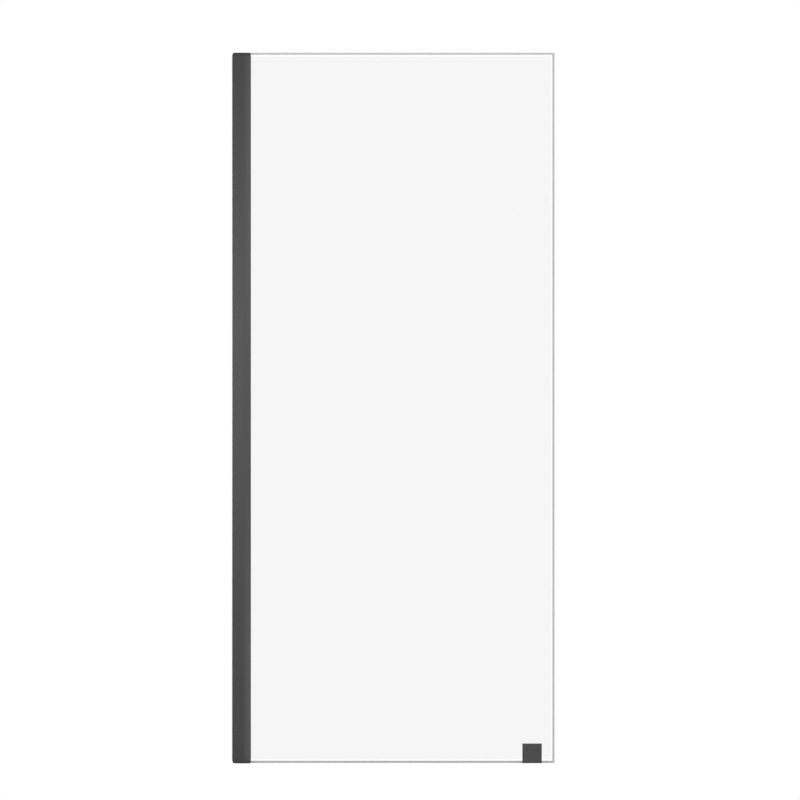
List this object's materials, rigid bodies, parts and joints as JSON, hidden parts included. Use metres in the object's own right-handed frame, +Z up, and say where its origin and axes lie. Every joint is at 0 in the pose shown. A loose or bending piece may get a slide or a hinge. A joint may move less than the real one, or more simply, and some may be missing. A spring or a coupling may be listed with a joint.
{
  "type": "glass shower panel",
  "caption": "Fixed clear glass shower panel in a dark satin telescopic wall jamb with end caps, held at its free lower corner by a square floor clamp.",
  "frame": {"origin": "on the wall plane, in the middle plane of the glass, at the level of the shower tray: the setting-out point of the panel", "axes": "+X away from the wall along the panel's width, +Y from the front face of the glass to the rear side with the covers and the clamp's foot, +Z up"},
  "size_m": [0.899, 0.0605, 1.981],
  "materials": {
    "channel_aluminium": "satin anodised",
    "jamb_aluminium": "satin gunmetal anodised, faint extrusion lines",
    "cap_plastic": "moulded, fine texture",
    "clear_glass": "clear toughened, ground edges",
    "gasket_rubber": "extruded, matte",
    "spacer_plastic": "translucent, moulded",
    "clamp_metal": "satin gunmetal plated brass",
    "pad_rubber": "cut sheet, matte",
    "bush_nylon": "natural nylon, turned",
    "screw_steel": "stainless, rolled and turned"
  },
  "bodies": {
    "channel": {"wall_channel": "channel_aluminium"},
    "panel": {"jamb": "jamb_aluminium", "top_cap": "cap_plastic", "bottom_cap": "cap_plastic", "glass": "clear_glass", "front_gasket": "gasket_rubber", "rear_gasket": "gasket_rubber", "glass_spacers": "spacer_plastic", "locking_screws": "screw_steel", "locking_nuts": "screw_steel", "locking_washers": "cap_plastic", "screw_covers": "cap_plastic", "clamp_cover": "clamp_metal", "clamp_body": "clamp_metal", "clamp_front_pad": "pad_rubber", "clamp_rear_pad": "pad_rubber", "clamp_bush": "bush_nylon", "clamp_screw": "screw_steel", "setting_pad": "spacer_plastic"}
  },
  "joints": [
    {"name": "width_adjust", "type": "slide", "parent": "channel", "child": "panel", "axis": [1, 0, 0], "range_m": [0, 0.02]}
  ]
}
